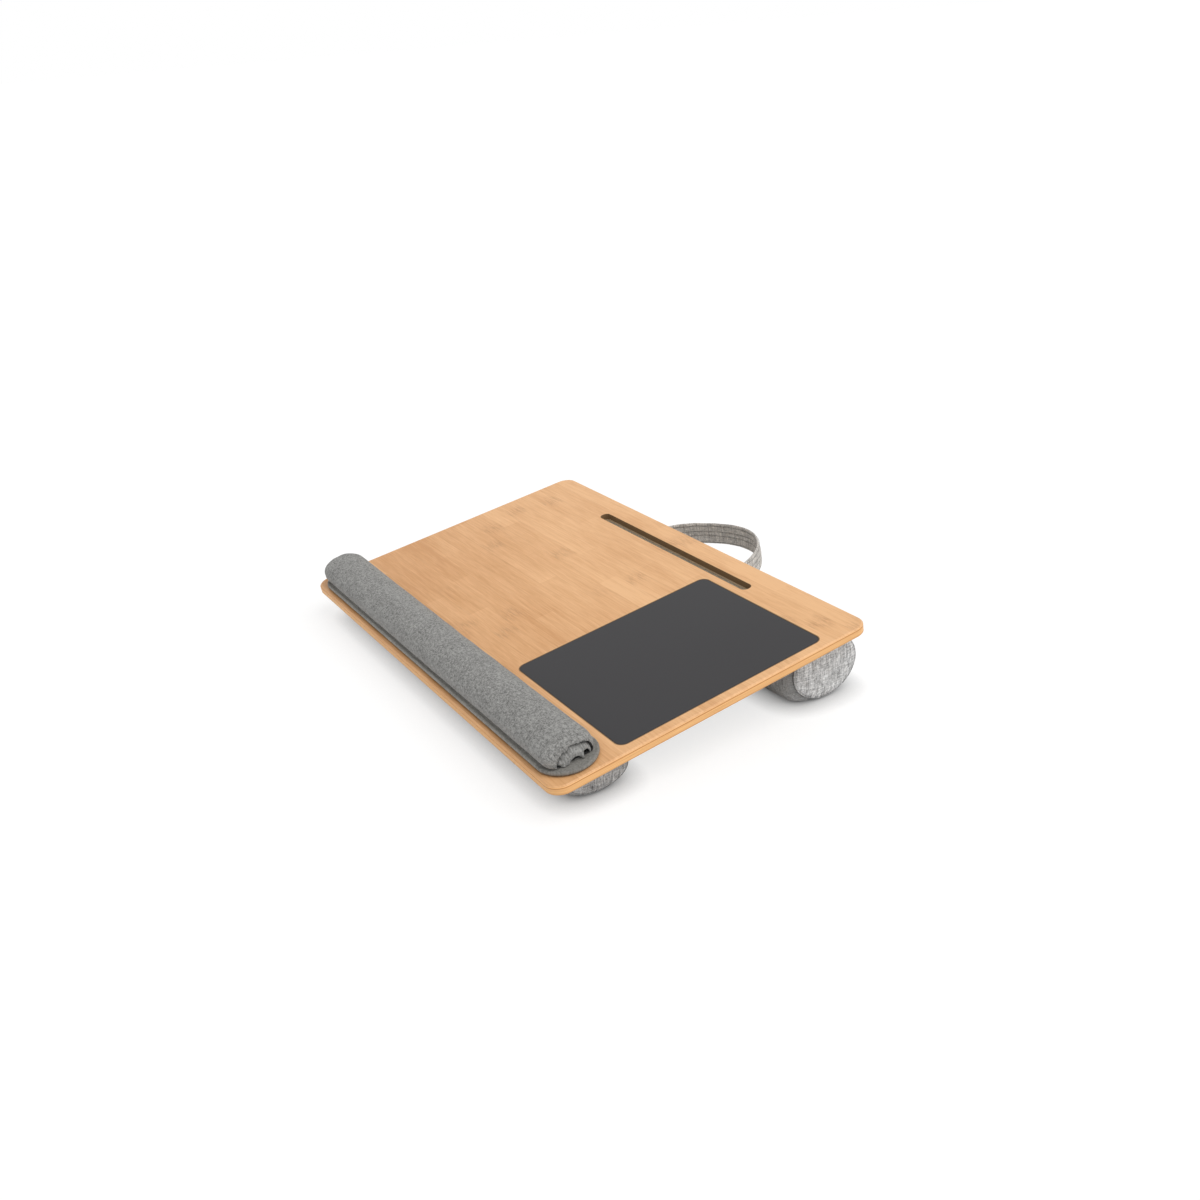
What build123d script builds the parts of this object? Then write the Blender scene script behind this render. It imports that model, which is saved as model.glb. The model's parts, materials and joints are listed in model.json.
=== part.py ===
from build123d import *
import os
from collections import namedtuple
from math import asin, atan2, cos, degrees, pi, sin, sqrt

# Lap tray: a thin bamboo board with a slot, a let-in mouse pad and a soft wrist rest, carried on two stuffed
# bolsters, a low one in front and a high one behind, with a fabric carry handle sewn to the rear one.
# Sizes are millimetres, X runs along the board, Y to its rear edge and Z up from the table.

# Board: three glued plies
board_width = 550.0
board_depth = 354.0
board_corner_radius = 16.0
face_ply_thickness = 2.2
core_thickness = 5.0
back_ply_thickness = 2.2
top_edge_bevel = 1.6
bottom_edge_bevel = 0.9

# Slot for a phone or tablet, through all three plies
slot_length = 276.0
slot_width = 12.0
slot_rear_margin = 27.5
slot_offset_to_left = 3.0

# Mouse pad, glued into a recess and flush with the board
pad_width = 183.0
pad_depth = 229.0
pad_corner_radius = 8.0
pad_thickness = 1.4
pad_right_margin = 11.5
pad_front_margin = 75.0
pad_gap = 0.4
pad_glue_thickness = 0.2
pad_glue_inset = 1.0

# Fabric panel under the board, with the staples that hold it
panel_thickness = 1.2
panel_margin = 12.0
panel_corner_radius = 10.0
staple_crown = 10.0
staple_wire = 1.0
staple_leg = 5.2
staple_spacing = 52.0
staple_edge_distance = 5.0
staple_gap = 0.05

# Bolsters: heights are from the table to the panel, over each bolster's centre line
bolster_side_margin = 25.0
front_bolster_setback = 56.9
rear_bolster_setback = 34.2
rear_bolster_depth = 84.0
rear_bolster_height = 66.6
rear_oval_height = 71.0
front_bolster_depth = 70.0
front_bolster_height = 35.0
front_oval_height = 42.0
floor_flat_depth = 0.5
end_draw_in = 3.0
end_drop = 1.3
end_crown = 6.0
cover_thickness = 1.2
filling_gap = 0.3
welt_width = 2.6
welt_proud = 1.1

# Wrist rest: a stadium-shaped base with a stuffed roll on it
rest_front_margin = 4.5
rest_side_margin = 5.0
rest_base_depth = 59.0
rest_base_thickness = 4.0
rest_base_rounding = 1.5
rest_base_wrap = 0.8
rest_board_gap = 0.1
rest_tape_thickness = 1.0
rest_tape_width = 20.0
rest_tape_length = 150.0
rest_tape_count = 3
roll_left_margin = 4.0
roll_right_margin = 11.0
roll_front_step = 2.4
roll_depth = 49.0
roll_height = 25.0
roll_seat_gap = 0.3
roll_oval_height = 28.0
roll_cover_thickness = 1.2
roll_filling_gap = 0.3
roll_dome_depth = 16.0
roll_gather_depth = 13.0
plug_recess = 5.0
plug_gap = 0.3
plug_pleats = 14
plug_pleat_depth = 1.3

# Carry handle: a fabric strap on edge, bent in an arch behind the rear bolster
handle_height = 51.1
handle_standoff = 2.6
handle_span = 146.0
handle_offset_to_left = 11.0
handle_reach = 67.0
strap_width = 27.0
strap_thickness = 3.2
webbing_width = 23.0
webbing_thickness = 1.4
webbing_gap = 0.1
handle_root_radius = 21.5
handle_root_gap = 0.5
patch_width = 24.0
patch_height = 24.0
patch_thickness = 1.6

# Shares: places along a form from 0 or -1 to 1, and how far the form has drawn in there
outline_arcs = 8
handle_lean_share = 0.2
tube_place_shares = (-1.0, -0.95, -0.84, 0.0, 0.84, 0.95, 1.0)
tube_draw_in_shares = (1.0, 0.38, 0.0, 0.0, 0.0, 0.38, 1.0)
crown_place_shares = (0.0, 0.55, 0.88, 1.0)
crown_size_shares = (1.0, 0.86, 0.58, 0.28)
dome_place_shares = (0.0, 0.12, 0.4, 1.0)
dome_size_shares = (0.42, 0.68, 0.9, 1.0)
gather_place_shares = (1.0, 0.45, 0.12, 0.0)
gather_size_shares = (1.0, 0.97, 0.9, 0.84)

overrun = 10.0

board_thickness = face_ply_thickness + core_thickness + back_ply_thickness
bolster_length = board_width - 2 * bolster_side_margin
rest_base_length = board_width - 2 * rest_side_margin
roll_left_end = rest_base_length / 2 - roll_left_margin
roll_right_end = rest_base_length / 2 - roll_right_margin
tube_half_length = bolster_length / 2 - welt_width
contact_distance = board_depth - front_bolster_setback - rear_bolster_setback
bolster_rise = rear_bolster_height - front_bolster_height
bolster_spread = sqrt(contact_distance ** 2 - bolster_rise ** 2)
tilt_slope = bolster_rise / bolster_spread
tilt = degrees(atan2(bolster_rise, bolster_spread))
rear_bolster_y = bolster_spread / 2
front_bolster_y = -bolster_spread / 2

# The board's own frame: origin at the middle of its top face, tilted with it
panel_contact_y = board_depth / 2 - rear_bolster_setback
board_frame = (Location((0, rear_bolster_y, rear_bolster_height), (tilt, 0, 0))
               * Location((0, -panel_contact_y, board_thickness + panel_thickness)))

# An oval cut by a straight flat: the flat lies above the centre, or below it where flat_side is -1
Oval = namedtuple("Oval", "center_y center_z half_width half_height flat slope flat_side")

rear_oval_center = rear_oval_height / 2 - floor_flat_depth
front_oval_center = front_oval_height / 2 - floor_flat_depth
rear_oval = Oval(rear_bolster_y, rear_oval_center, rear_bolster_depth / 2, rear_oval_height / 2,
                 rear_bolster_height - rear_oval_center, tilt_slope, 1)
front_oval = Oval(front_bolster_y, front_oval_center, front_bolster_depth / 2, front_oval_height / 2,
                  front_bolster_height - front_oval_center, tilt_slope, 1)


def outline(oval, x, scale=1.0, inset=0.0, drop=0.0):
    """Closed outline of arcs and one line, square to X, drawn in by inset and its flat by drop."""
    half_width = oval.half_width * scale - inset
    half_height = oval.half_height * scale - inset
    flat = oval.flat * scale - drop
    rise = oval.slope * half_width
    reach = sqrt(half_height ** 2 + rise ** 2)
    lean = atan2(rise, half_height)
    first = lean + asin(flat / reach)
    last = lean - pi - asin(flat / reach)
    steps = 2 * outline_arcs
    turns = [first + (last - first) * step / steps for step in range(steps + 1)]
    points = [Vector(x, oval.center_y + half_width * cos(turn),
                     oval.center_z + oval.flat_side * half_height * sin(turn)) for turn in turns]
    edges = [ThreePointArc(points[n], points[n + 1], points[n + 2]) for n in range(0, steps, 2)]
    edges.append(Line(points[-1], points[0]))
    return Wire(edges)


def tube_form(oval, inset=0.0):
    """A bolster's tube: full along its length and drawn in towards the end seams."""
    return Solid.make_loft([
        outline(oval, tube_half_length * place,
                inset=inset + end_draw_in * draw, drop=inset + end_drop * draw)
        for place, draw in zip(tube_place_shares, tube_draw_in_shares)])


def crown_form(oval, side, inset=0.0):
    """The crowned end of a bolster, from its seam outwards."""
    seam_x = tube_half_length + welt_width
    return Solid.make_loft([
        outline(oval, side * (seam_x + (end_crown - inset) * place), scale=size,
                inset=inset + end_draw_in * size, drop=inset + end_drop * size)
        for place, size in zip(crown_place_shares, crown_size_shares)])


def end_disc(oval, side, inset):
    """A slice of the form between the tube's end and the crown, as thick as the welt."""
    face = make_face(outline(oval, side * tube_half_length, inset=inset + end_draw_in, drop=inset + end_drop))
    return extrude(face, welt_width, dir=(side, 0, 0))


def bolster(name, oval):
    """Cover, end panels, end welts and filling of one bolster, flat where it stands on the table."""
    below_floor = Location((0, oval.center_y, -overrun)) * Box(
        bolster_length + 2 * overrun, 4 * oval.half_width, 2 * overrun)
    cover = tube_form(oval) - tube_form(oval, cover_thickness) - below_floor
    inner = cover_thickness + filling_gap
    filling = tube_form(oval, inner)
    pieces = {name + "_cover": cover}
    for side, word in ((-1, "left"), (1, "right")):
        panel = crown_form(oval, side) - crown_form(oval, side, cover_thickness) - below_floor
        ring = end_disc(oval, side, -welt_proud) - end_disc(oval, side, cover_thickness)
        pieces[f"{name}_end_panel_{word}"] = panel
        pieces[f"{name}_welt_{word}"] = ring - below_floor
        filling = filling + end_disc(oval, side, inner) + crown_form(oval, side, inner)
    pieces[name + "_filling"] = filling
    return pieces


def board_sheet(thickness, depth_below_face):
    """One ply in the board's frame, its upper face at the given depth."""
    return Location((0, 0, -depth_below_face - thickness)) * extrude(
        RectangleRounded(board_width, board_depth, board_corner_radius), thickness)


def outer_edges(solid, highest):
    """The rim edges of a ply's upper or lower face."""
    return solid.faces().sort_by(Axis.Z)[-1 if highest else 0].outer_wire().edges()


def staple_shape(gap=0.0):
    """One staple with its crown along X under the panel and its legs up, or the hole that it makes."""
    wire = staple_wire + 2 * gap
    legs_apart = staple_crown - staple_wire
    crown = Location((0, 0, -staple_wire / 2)) * Box(staple_crown, staple_wire, staple_wire)
    leg = Location((0, 0, (staple_leg + gap) / 2)) * Box(wire, wire, staple_leg + gap)
    legs = [Location((side * legs_apart / 2, 0, 0)) * leg for side in (-1, 1)]
    return legs if gap else [crown + legs[0] + legs[1]]


def staple_places():
    """Locations round the panel's edge, on its lower face in the board's frame."""
    half_x = board_width / 2 - panel_margin - staple_edge_distance
    half_y = board_depth / 2 - panel_margin - staple_edge_distance
    face_z = -board_thickness - panel_thickness
    across = round(2 * half_x / staple_spacing)
    along = round(2 * half_y / staple_spacing)
    places = []
    for side in (-1, 1):
        for n in range(across):
            x = half_x * ((2 * n + 1) / across - 1)
            places.append(Location((x, side * half_y, face_z)))
        for n in range(along):
            y = half_y * ((2 * n + 1) / along - 1)
            places.append(Location((side * half_x, y, face_z), (0, 0, 90)))
    return places


def board():
    """Three plies, mouse pad, backing panel and staples, in the board's frame."""
    face = board_sheet(face_ply_thickness, 0)
    core = board_sheet(core_thickness, face_ply_thickness)
    back = board_sheet(back_ply_thickness, face_ply_thickness + core_thickness)
    face = chamfer(outer_edges(face, True), top_edge_bevel)
    back = chamfer(outer_edges(back, False), bottom_edge_bevel)

    slot_y = board_depth / 2 - slot_rear_margin - slot_width / 2
    slot = Location((-slot_offset_to_left, slot_y, -board_thickness - overrun)) * extrude(
        SlotOverall(slot_length, slot_width), board_thickness + 2 * overrun)

    recess_depth = pad_thickness + pad_glue_thickness
    pad_place = Location((board_width / 2 - pad_right_margin - pad_width / 2,
                          -board_depth / 2 + pad_front_margin + pad_depth / 2, -recess_depth))
    recess = pad_place * extrude(RectangleRounded(
        pad_width + 2 * pad_gap, pad_depth + 2 * pad_gap, pad_corner_radius + pad_gap), recess_depth + overrun)
    glue = pad_place * extrude(RectangleRounded(
        pad_width - 2 * pad_glue_inset, pad_depth - 2 * pad_glue_inset,
        pad_corner_radius - pad_glue_inset), pad_glue_thickness)
    pad = pad_place * Location((0, 0, pad_glue_thickness)) * extrude(
        RectangleRounded(pad_width, pad_depth, pad_corner_radius), pad_thickness)

    panel = Location((0, 0, -board_thickness - panel_thickness)) * extrude(RectangleRounded(
        board_width - 2 * panel_margin, board_depth - 2 * panel_margin, panel_corner_radius), panel_thickness)
    places = staple_places()
    staples = Compound([place * shape for place in places for shape in staple_shape()])
    leg_holes = Compound([place * shape for place in places for shape in staple_shape(staple_gap)])
    return {
        "board_face_ply": face - slot - recess,
        "board_core": core - slot - leg_holes,
        "board_back_ply": back - slot - leg_holes,
        "mouse_pad_glue": glue,
        "mouse_pad": pad,
        "cushion_backing_panel": panel - leg_holes,
        "panel_staples": staples,
    }


rest_y = -board_depth / 2 + rest_front_margin + rest_base_depth / 2
rest_top = rest_tape_thickness + rest_base_thickness
roll_y = rest_y - rest_base_depth / 2 + roll_front_step + roll_depth / 2
roll_center_z = rest_top + roll_height - roll_oval_height / 2
roll_oval = Oval(roll_y, roll_center_z, roll_depth / 2, roll_oval_height / 2,
                 roll_center_z - rest_top - roll_seat_gap, 0, -1)


def roll_tube(inset=0.0):
    """The straight middle of the wrist roll."""
    left = -roll_left_end + roll_dome_depth
    right = roll_right_end - roll_gather_depth
    face = make_face(outline(roll_oval, left, inset=inset, drop=inset))
    return extrude(face, right - left, dir=(1, 0, 0))


def roll_dome(inset=0.0):
    """The closed, rounded left end of the wrist roll."""
    seat = -roll_left_end + roll_dome_depth
    return Solid.make_loft([
        outline(roll_oval, seat - (roll_dome_depth - inset) * (1 - place), scale=size, inset=inset, drop=inset)
        for place, size in zip(dome_place_shares, dome_size_shares)])


def roll_gather(inset=0.0):
    """The right end of the wrist roll, drawn in to its rim."""
    return Solid.make_loft([
        outline(roll_oval, roll_right_end - roll_gather_depth * place, scale=size, inset=inset, drop=inset)
        for place, size in zip(gather_place_shares, gather_size_shares)])


def plug_outline(x, inset):
    """Scalloped outline of the pleated end, each scallop an arc out to the cover."""
    half_width = roll_oval.half_width * gather_size_shares[1] - inset
    half_height = roll_oval.half_height * gather_size_shares[1] - inset
    flat_z = roll_oval.center_z - roll_oval.flat * gather_size_shares[1] + inset
    steps = 2 * plug_pleats
    points = []
    for step in range(steps):
        depth = 0 if step % 2 else plug_pleat_depth
        turn = 2 * pi * step / steps
        z = roll_oval.center_z + (half_height - depth) * sin(turn)
        points.append(Vector(x, roll_oval.center_y + (half_width - depth) * cos(turn), max(z, flat_z + depth)))
    edges = [ThreePointArc(points[n], points[n + 1], points[(n + 2) % steps]) for n in range(0, steps, 2)]
    return Wire(edges)


def wrist_rest():
    """Base, tapes, roll and pleated end of the wrist rest, in the board's frame."""
    base_place = Location((0, rest_y, rest_tape_thickness))
    stadium = extrude(SlotOverall(rest_base_length, rest_base_depth), rest_base_thickness)
    rims = [edge for face in (stadium.faces().sort_by(Axis.Z)[0], stadium.faces().sort_by(Axis.Z)[-1])
            for edge in face.outer_wire().edges()]
    stadium = fillet(rims, rest_base_rounding)
    hollow = Location((0, 0, rest_base_wrap)) * extrude(SlotOverall(
        rest_base_length - 2 * rest_base_wrap, rest_base_depth - 2 * rest_base_wrap),
        rest_base_thickness - 2 * rest_base_wrap)
    board_inset = rest_base_wrap + rest_board_gap
    stiffener = Location((0, 0, board_inset)) * extrude(SlotOverall(
        rest_base_length - 2 * board_inset, rest_base_depth - 2 * board_inset),
        rest_base_thickness - 2 * board_inset)
    tape_pitch = rest_base_length / rest_tape_count
    tapes = Compound([
        Location((tape_pitch * (n - (rest_tape_count - 1) / 2), rest_y, rest_tape_thickness / 2))
        * Box(rest_tape_length, rest_tape_width, rest_tape_thickness) for n in range(rest_tape_count)])
    wall = roll_cover_thickness
    cover = ((roll_dome() - roll_dome(wall)) + (roll_tube() - roll_tube(wall))
             + (roll_gather() - roll_gather(wall)))
    core_inset = wall + roll_filling_gap
    core = roll_dome(core_inset) + roll_tube(core_inset)
    plug_thickness = roll_gather_depth - plug_recess - plug_gap
    plug_front = roll_right_end - plug_recess
    plug = extrude(make_face(plug_outline(plug_front - plug_thickness, wall + plug_gap)),
                   plug_thickness, dir=(1, 0, 0))
    return {
        "wrist_rest_tapes": tapes,
        "wrist_rest_base_cover": base_place * (stadium - hollow),
        "wrist_rest_base_board": base_place * stiffener,
        "wrist_roll_cover": cover,
        "wrist_roll_core": core,
        "wrist_roll_pleated_end": plug,
    }


hinge_turn = asin((handle_height - rear_oval.center_z) / rear_oval.half_height)
hinge_y = rear_oval.center_y + rear_oval.half_width * cos(hinge_turn) + handle_standoff
handle_frame = Location((-handle_offset_to_left, hinge_y, handle_height), (tilt, 0, 0))


def arch(thickness, width):
    """A band on edge round half a leaning ellipse, in the handle's frame, running a little past its hinge line."""
    half_span = handle_span / 2
    shift = handle_lean_share * handle_reach / 2
    even = sqrt(((half_span + handle_reach) / 2) ** 2 + shift ** 2)
    odd = sqrt(((half_span - handle_reach) / 2) ** 2 + shift ** 2)
    turn = (atan2(shift, (half_span - handle_reach) / 2) + atan2(-shift, (half_span + handle_reach) / 2)) / 2
    ring = Rotation(0, 0, degrees(turn)) * (
        Ellipse(even + odd + thickness / 2, even - odd + thickness / 2)
        - Ellipse(even + odd - thickness / 2, even - odd - thickness / 2))
    rear_half = Location((0, handle_reach, 0)) * Rectangle(
        2 * handle_span, 2 * (handle_reach + 2 * handle_standoff))
    return Location((0, 0, -width / 2)) * extrude(ring & rear_half, width)


def hinge_cylinder(radius):
    """A cylinder about the handle's hinge line, in the handle's frame."""
    return Rotation(0, 90, 0) * Cylinder(radius, 2 * handle_span)


def handle():
    """Strap and webbing beyond the hinge, and the two sewn ends with their patches, in the table's frame."""
    root = hinge_cylinder(handle_root_radius)
    band = arch(strap_thickness, strap_width)
    strap = band - arch(webbing_thickness + 2 * webbing_gap, webbing_width + 2 * webbing_gap) - root
    webbing = arch(webbing_thickness, webbing_width) - root
    stubs = handle_frame * (band & hinge_cylinder(handle_root_radius - handle_root_gap))
    tube = tube_form(rear_oval)
    patch_shell = tube_form(rear_oval, -patch_thickness) - tube
    pieces = {"handle_strap": handle_frame * strap, "handle_webbing": handle_frame * webbing}
    for side, word in ((-1, "left"), (1, "right")):
        root_x = side * handle_span / 2 - handle_offset_to_left
        patch = patch_shell & (Location((root_x, hinge_y, handle_height), (tilt, 0, 0))
                               * Box(patch_width, patch_height, patch_height))
        half = Location((root_x, hinge_y, handle_height)) * Box(
            handle_span, handle_span, handle_span)
        pieces["handle_end_" + word] = ((stubs & half) - tube) + patch
    return pieces


def place_and_write(pieces):
    """Move the origin under the middle of the whole tray at table level, and write every piece."""
    extent = Compound([shape for shape in pieces.values()]).bounding_box()
    to_origin = Location((-extent.center().X, -extent.center().Y, -extent.min.Z))
    os.makedirs("parts", exist_ok=True)
    for name, shape in pieces.items():
        placed = to_origin * shape
        placed.label = name
        export_step(placed, f"parts/{name}.step")
    return to_origin


pieces = {name: board_frame * shape for name, shape in {**board(), **wrist_rest()}.items()}
pieces.update(bolster("front_bolster", front_oval))
pieces.update(bolster("rear_bolster", rear_oval))
pieces.update(handle())
to_origin = place_and_write(pieces)

print("pieces", len(pieces), "tilt", round(tilt, 3))
print("hinge line", (to_origin * handle_frame).position)
print("board top centre", (to_origin * board_frame).position)
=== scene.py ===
import json
import math

import bmesh
import bpy
import numpy as np
from mathutils import Matrix, Vector, noise


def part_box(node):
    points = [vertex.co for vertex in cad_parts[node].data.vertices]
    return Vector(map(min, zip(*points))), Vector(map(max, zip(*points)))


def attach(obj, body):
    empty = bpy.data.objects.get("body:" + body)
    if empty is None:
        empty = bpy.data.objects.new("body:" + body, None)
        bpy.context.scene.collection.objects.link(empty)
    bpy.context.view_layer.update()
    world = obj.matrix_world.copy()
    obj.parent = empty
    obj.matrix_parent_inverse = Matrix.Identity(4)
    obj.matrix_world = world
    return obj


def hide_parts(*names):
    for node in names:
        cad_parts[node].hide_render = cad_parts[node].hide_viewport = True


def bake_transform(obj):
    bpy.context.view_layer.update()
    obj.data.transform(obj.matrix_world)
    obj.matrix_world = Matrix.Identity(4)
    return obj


bl_info = {
    "name": "Lap tray finish",
    "version": (1, 0, 0),
    "blender": (4, 5, 0),
    "location": "View3D > Sidebar > Lap tray",
    "description": "Dresses the packed frame of a bamboo lap tray: wood, cloth, soft rolls, strap and stage",
    "category": "Add Mesh",
}

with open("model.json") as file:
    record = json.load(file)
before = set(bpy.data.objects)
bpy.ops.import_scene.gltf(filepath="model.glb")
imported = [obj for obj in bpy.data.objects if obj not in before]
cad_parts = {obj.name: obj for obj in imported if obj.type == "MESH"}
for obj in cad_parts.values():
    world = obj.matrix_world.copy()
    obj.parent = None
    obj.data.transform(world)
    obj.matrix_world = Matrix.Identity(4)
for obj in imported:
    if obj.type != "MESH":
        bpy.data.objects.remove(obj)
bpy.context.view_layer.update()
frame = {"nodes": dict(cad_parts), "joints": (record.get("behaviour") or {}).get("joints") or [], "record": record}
MM = 0.001
CIRCLE = 2 * math.pi
WHITE = (1.0, 1.0, 1.0)
TRAY, HANDLE = "tray", "handle"


def mount(name):
    """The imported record's entry for one mount."""
    return next(m for m in frame["record"]["mounts"] if m["name"] == name)


PAD_NORMAL = Vector(mount("mouse_pad_face")["axis"])
TILT = math.atan2(-PAD_NORMAL.y, PAD_NORMAL.z)
BOARD_TURN = Matrix.Rotation(TILT, 3, "X")


def board_box(node):
    """Lowest and highest corner of a node, measured along the tilted board."""
    turned = np.array([v.co for v in frame["nodes"][node].data.vertices]) @ np.array(BOARD_TURN)
    return Vector(turned.min(0)), Vector(turned.max(0))


def from_board(x, y, z):
    """A point given along the tilted board, in the tray's own frame."""
    return BOARD_TURN @ Vector((x, y, z))


BOARD_LOW, BOARD_HIGH = board_box("board_face_ply")
BOARD_MID_Y = (BOARD_LOW.y + BOARD_HIGH.y) / 2
PAD_LOW, PAD_HIGH = board_box("mouse_pad")
TOP_Z = PAD_HIGH.z
FACE_PLY, CORE = 2.2 * MM, 5.0 * MM
BOARD_CORNER, PAD_CORNER, SLOT_CORNER = 16 * MM, 8 * MM, 6 * MM
SLOT_HALF = Vector((138 * MM, 6 * MM, 0))
STRAP_HALF_THICK = 1.6 * MM
# How far a stuffed piece stays off what it rests on
RESTING_GAP = 0.2 * MM

HINGE_AT = Vector(next(j for j in frame["joints"] if j["name"] == "handle_swing")["pos_m"])
HINGE_ON_BOARD = BOARD_TURN.transposed() @ HINGE_AT


# Sizes and colours that a user would change

def length(name, description, millimetres):
    """A size that shows in the scene's own unit."""
    return bpy.props.FloatProperty(name=name, description=description, default=millimetres * MM, unit="LENGTH")


def colour(name, description, default):
    """A colour that has its own swatch."""
    return bpy.props.FloatVectorProperty(name=name, description=description, default=default, subtype="COLOR")


class LapTrayWood(bpy.types.PropertyGroup):
    strip: length("Strip width", "Width of one bamboo strip", 22)
    lamella: length("Strip length", "Length of one bamboo strip", 215)
    light: colour("Light bamboo", "Palest strips", (0.885, 0.52, 0.258))
    dark: colour("Deep bamboo", "Deepest strips", (0.64, 0.318, 0.125))
    knot: colour("Node marks", "Brown marks where the cane had its joints", (0.40, 0.19, 0.075))
    edge: colour("Sanded edge", "Yellow bamboo of the bevel and the rim", (0.93, 0.53, 0.215))
    glue: colour("Glue line", "Deep line under the bevel", (0.50, 0.19, 0.05))
    burnt: colour("Cut walls", "Scorched walls of the slot and of the pad's recess", (0.235, 0.145, 0.07))
    lower_wall: colour("Lower wall", "Paler wall of the back ply in the slot", (0.75, 0.61, 0.44))


class LapTrayCloth(bpy.types.PropertyGroup):
    roll: colour("Roll", "Knit of the wrist roll", (0.285, 0.283, 0.273))
    base: colour("Base", "Knit of the wrist rest's base", (0.315, 0.305, 0.28))
    bolster: colour("Bolster", "Weave of the bolsters", (0.42, 0.42, 0.42))
    strap: colour("Strap", "Weave of the handle", (0.59, 0.56, 0.52))
    backing: colour("Backing", "Cloth under the board", (0.48, 0.44, 0.36))
    thread: colour("Thread", "Sewing thread", (0.30, 0.29, 0.27))
    pad: colour("Mouse pad", "Coated sheet", (0.034, 0.033, 0.0355))


class LapTrayShape(bpy.types.PropertyGroup):
    rear_oval: length("Rear oval", "Height that the rear bolster would have if free", 71)
    front_oval: length("Front oval", "Height that the front bolster would have if free", 42)
    roll_oval: length("Roll oval", "Height that the wrist roll would have if free", 28)
    end_draw_in: length("Draw-in", "How far a bolster narrows at its end seams", 3.0)
    sag: length("Sag", "How far the rear bolster's lower front spreads under load", 10)
    handle_span: length("Handle span", "Distance between the strap's two roots", 146)
    handle_lean: bpy.props.FloatProperty(
        name="Handle lean", description="How far the loop leans to the right for its reach", default=0.2)
    stitch: length("Stitch", "Length of one stitch", 2.6)
    stitch_gap: length("Stitch gap", "Space between two stitches", 1.0)
    thread: length("Thread", "Thickness of the thread", 0.5)


class LapTrayStage(bpy.types.PropertyGroup):
    camera: bpy.props.FloatVectorProperty(
        name="Camera", description="Where the camera stands", default=(1.03002, -0.60257, 0.60855),
        subtype="XYZ")
    aim: bpy.props.FloatVectorProperty(
        name="Aim", description="The point at the middle of the picture", default=(0.03206, -0.01191, 0.06319),
        subtype="XYZ")
    roll: bpy.props.FloatProperty(
        name="Roll", description="How far the camera leans", default=math.radians(-4.4345), subtype="ANGLE")
    lens: bpy.props.FloatProperty(
        name="Lens", description="Focal length on a 36 mm frame", default=36.763, unit="CAMERA")
    fill: bpy.props.FloatProperty(
        name="Fill", description="Strength of the light from all round", default=0.59)
    key: bpy.props.FloatProperty(
        name="Key", description="Strength of the wide soft light above and to the right", default=1.40)
    spread: bpy.props.FloatProperty(
        name="Spread", description="Width of the soft light in the sky", default=math.radians(50), subtype="ANGLE")


# Node trees

class Num:
    """A number worked out by a node, so that sums on it add Math nodes."""

    def __init__(self, tree, socket):
        self.tree = tree
        self.socket = socket

    def math(self, operation, *others, clamp=False):
        return self.tree.math(operation, self, *others, clamp=clamp)

    def __add__(self, other):
        return self.math("ADD", other)

    def __sub__(self, other):
        return self.math("SUBTRACT", other)

    def __mul__(self, other):
        return self.math("MULTIPLY", other)

    def __truediv__(self, other):
        return self.math("DIVIDE", other)

    def __radd__(self, other):
        return self.tree.math("ADD", other, self)

    def __rsub__(self, other):
        return self.tree.math("SUBTRACT", other, self)

    def __rmul__(self, other):
        return self.tree.math("MULTIPLY", other, self)


class Tree:
    """A node tree, emptied and then built up node by node."""

    def __init__(self, nodes_and_links):
        self.made = nodes_and_links
        self.made.nodes.clear()

    def node(self, kind, settings=None, sockets=None):
        """A node of one type, its settings made first and then its sockets fed."""
        node = self.made.nodes.new(kind)
        for name, value in (settings or {}).items():
            setattr(node, name, value)
        for name, value in (sockets or {}).items():
            self.feed(node.inputs[name], value)
        return node

    def feed(self, socket, value):
        """Link a socket, or set it to a plain value."""
        value = value.socket if isinstance(value, Num) else value
        if isinstance(value, bpy.types.NodeSocket):
            self.made.links.new(value, socket)
        elif socket.type == "RGBA" and len(value) == 3:
            socket.default_value = (*value, 1.0)
        else:
            socket.default_value = value

    def number(self, kind, output, settings=None, sockets=None):
        """One output of a new node, as a number to reckon with."""
        return Num(self, self.node(kind, settings, sockets).outputs[output])

    def math(self, operation, *values, clamp=False):
        return self.number("ShaderNodeMath", 0, {"operation": operation, "use_clamp": clamp}, dict(enumerate(values)))


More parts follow.
